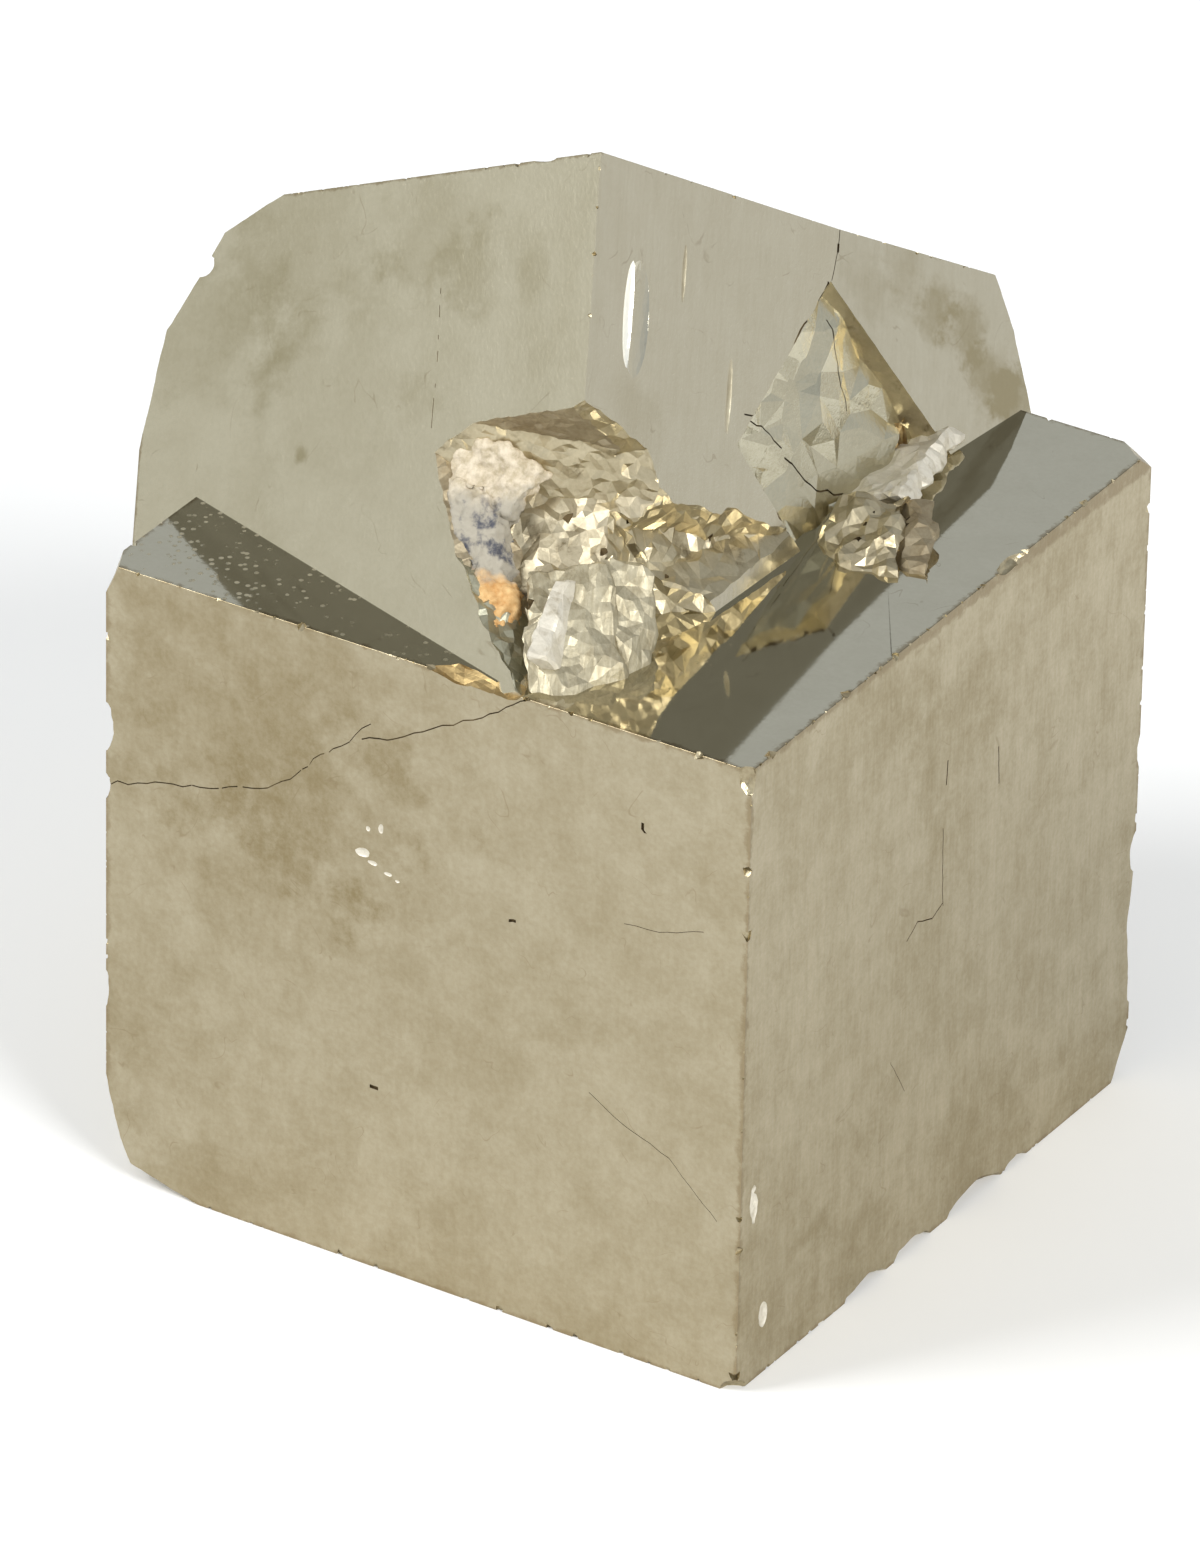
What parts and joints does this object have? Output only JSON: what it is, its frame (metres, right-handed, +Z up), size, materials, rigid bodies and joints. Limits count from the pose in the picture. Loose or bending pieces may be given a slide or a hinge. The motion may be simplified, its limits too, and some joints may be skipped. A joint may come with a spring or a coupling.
{
  "type": "pyrite specimen",
  "caption": "Mineral specimen of cubic pyrite crystals grown through each other, with a broken hollow that holds host rock; it rests on a flat base.",
  "frame": {"origin": "middle of the bounding box at the base, on the surface that the specimen stands on", "axes": "+Z up, the longest extent; +X and -Y point out of the two front faces of the upright cube"},
  "size_m": [0.0514, 0.0524, 0.0681],
  "materials": {
    "pyrite": "natural crystal faces, polished to satin, with rough fractures",
    "host_rock": "dull, chalky limestone with a rusty tip"
  },
  "bodies": {
    "root": {"pyrite_crystals": "pyrite", "matrix_remnant": "host_rock"}
  },
  "joints": []
}
